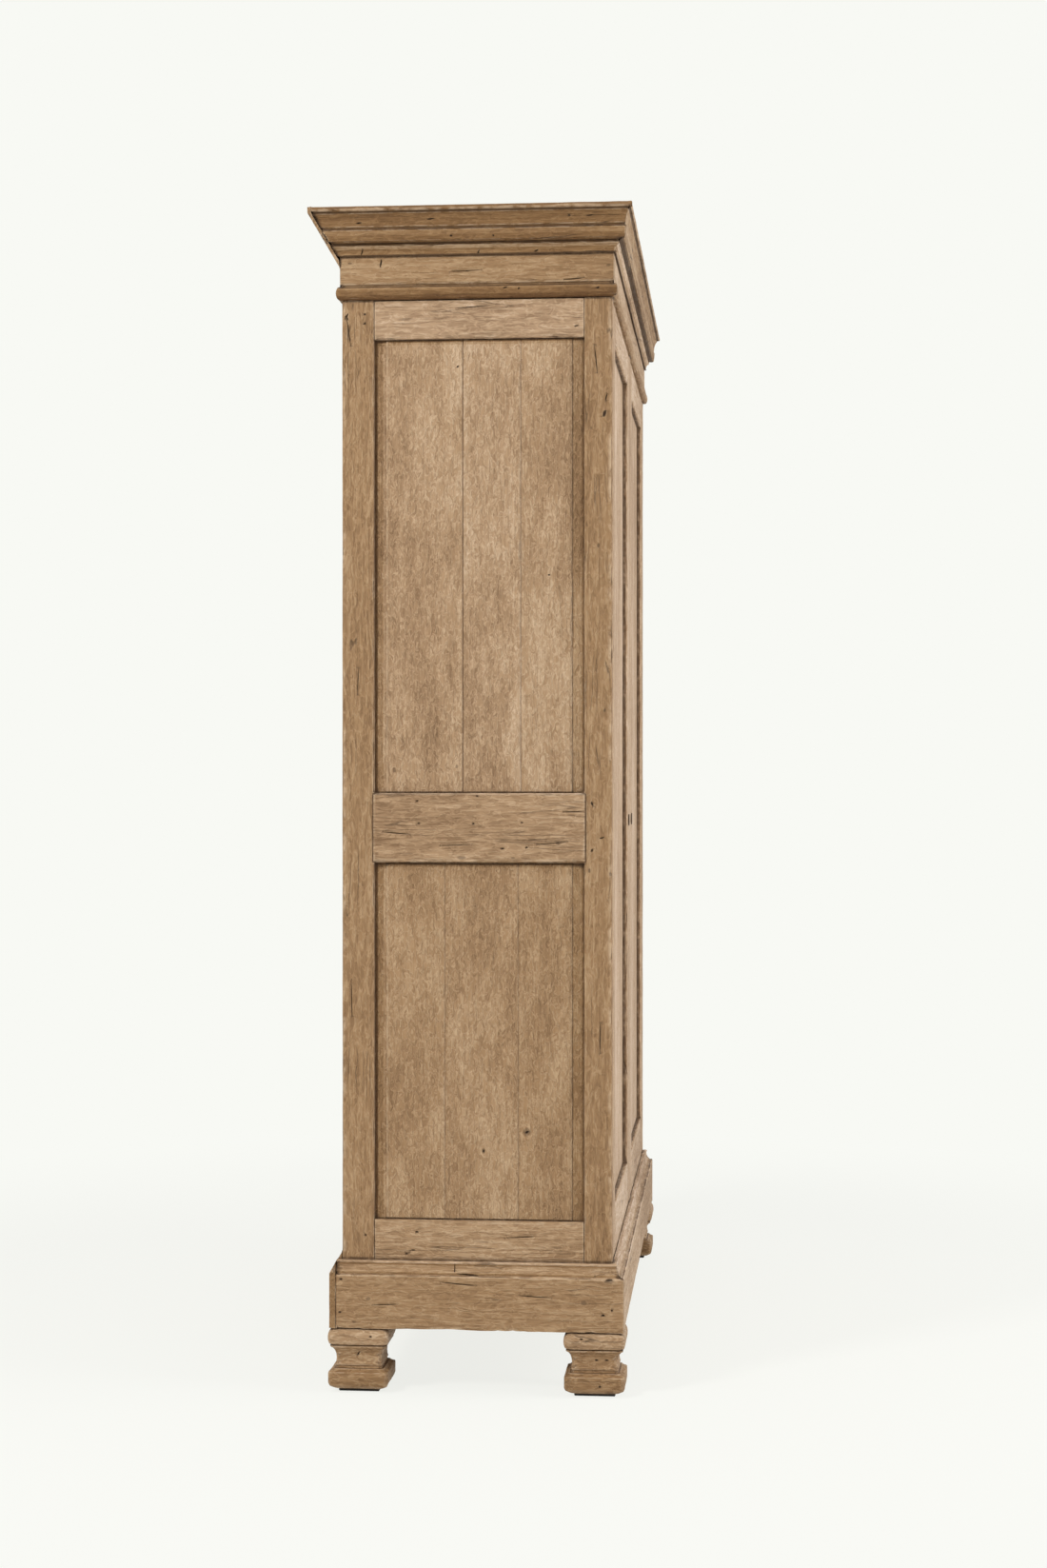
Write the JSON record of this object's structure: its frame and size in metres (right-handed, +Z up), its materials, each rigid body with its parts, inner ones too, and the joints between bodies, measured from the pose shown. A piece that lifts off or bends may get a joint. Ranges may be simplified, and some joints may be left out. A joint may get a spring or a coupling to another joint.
{
  "type": "display cabinet",
  "caption": "Tall free-standing storage cabinet with framed panel ends, pivoted panel doors, housed shelves, moulded cornice, plinth and shaped feet.",
  "frame": {"origin": "on the floor, under the middle of the cornice's outline", "axes": "+Z up; the doors face -Y; +X is to the right of someone who faces the doors"},
  "size_m": [1.47, 0.6, 2.193],
  "materials": {
    "oak_frame": "weathered, matt, worn edges",
    "oak_panel": "weathered, matt, flecked",
    "oak_moulding": "weathered, darkened by dust and shade",
    "oak_inside": "plain, matt",
    "dark_iron": "dull, dark",
    "dark_felt": "matt"
  },
  "bodies": {
    "carcass": {"left_front_post": "oak_frame", "left_back_post": "oak_frame", "right_front_post": "oak_frame", "right_back_post": "oak_frame", "left_bottom_rail": "oak_frame", "left_middle_rail": "oak_frame", "left_top_rail": "oak_frame", "right_bottom_rail": "oak_frame", "right_middle_rail": "oak_frame", "right_top_rail": "oak_frame", "left_lower_panel": "oak_panel", "left_upper_panel": "oak_panel", "right_lower_panel": "oak_panel", "right_upper_panel": "oak_panel", "frieze_front": "oak_frame", "frieze_back": "oak_frame", "frieze_left": "oak_frame", "frieze_right": "oak_frame", "cornice_front": "oak_moulding", "cornice_back": "oak_moulding", "cornice_left": "oak_moulding", "cornice_right": "oak_moulding", "plinth_front": "oak_frame", "plinth_back": "oak_frame", "plinth_left": "oak_frame", "plinth_right": "oak_frame", "left_front_foot": "oak_frame", "left_back_foot": "oak_frame", "right_front_foot": "oak_frame", "right_back_foot": "oak_frame", "left_front_pad": "dark_felt", "left_back_pad": "dark_felt", "right_front_pad": "dark_felt", "right_back_pad": "dark_felt", "floor_board": "oak_inside", "shelf_1": "oak_inside", "shelf_2": "oak_inside", "shelf_3": "oak_inside", "top_board": "oak_inside", "back_muntin": "oak_frame", "left_back_panel": "oak_inside", "right_back_panel": "oak_inside", "front_mullion": "oak_frame", "left_lower_pivot": "dark_iron", "left_upper_pivot": "dark_iron", "right_lower_pivot": "dark_iron", "right_upper_pivot": "dark_iron"},
    "left_door": {"left_door_hinge_stile": "oak_frame", "left_door_lock_stile": "oak_frame", "left_door_bottom_rail": "oak_frame", "left_door_top_rail": "oak_frame", "left_door_panel": "oak_panel"},
    "right_door": {"right_door_hinge_stile": "oak_frame", "right_door_lock_stile": "oak_frame", "right_door_bottom_rail": "oak_frame", "right_door_top_rail": "oak_frame", "right_door_panel": "oak_panel"},
    "left_lock": {"left_lock": "dark_iron"},
    "right_lock": {"right_lock": "dark_iron"}
  },
  "joints": [
    {"name": "left_door_swing", "type": "hinge", "parent": "carcass", "child": "left_door", "pos_m": [-0.6385, -0.256, 0.2475], "axis": [0, 0, -1], "range_deg": [0, 115]},
    {"name": "right_door_swing", "type": "hinge", "parent": "carcass", "child": "right_door", "pos_m": [0.6385, -0.256, 0.2475], "axis": [0, 0, 1], "range_deg": [0, 115]},
    {"name": "left_lock_turn", "type": "hinge", "parent": "left_door", "child": "left_lock", "pos_m": [-0.06, -0.262, 1.05], "axis": [0, -1, 0], "range_deg": [0, 90]},
    {"name": "right_lock_turn", "type": "hinge", "parent": "right_door", "child": "right_lock", "pos_m": [0.06, -0.262, 1.05], "axis": [0, 1, 0], "range_deg": [0, 90]}
  ]
}
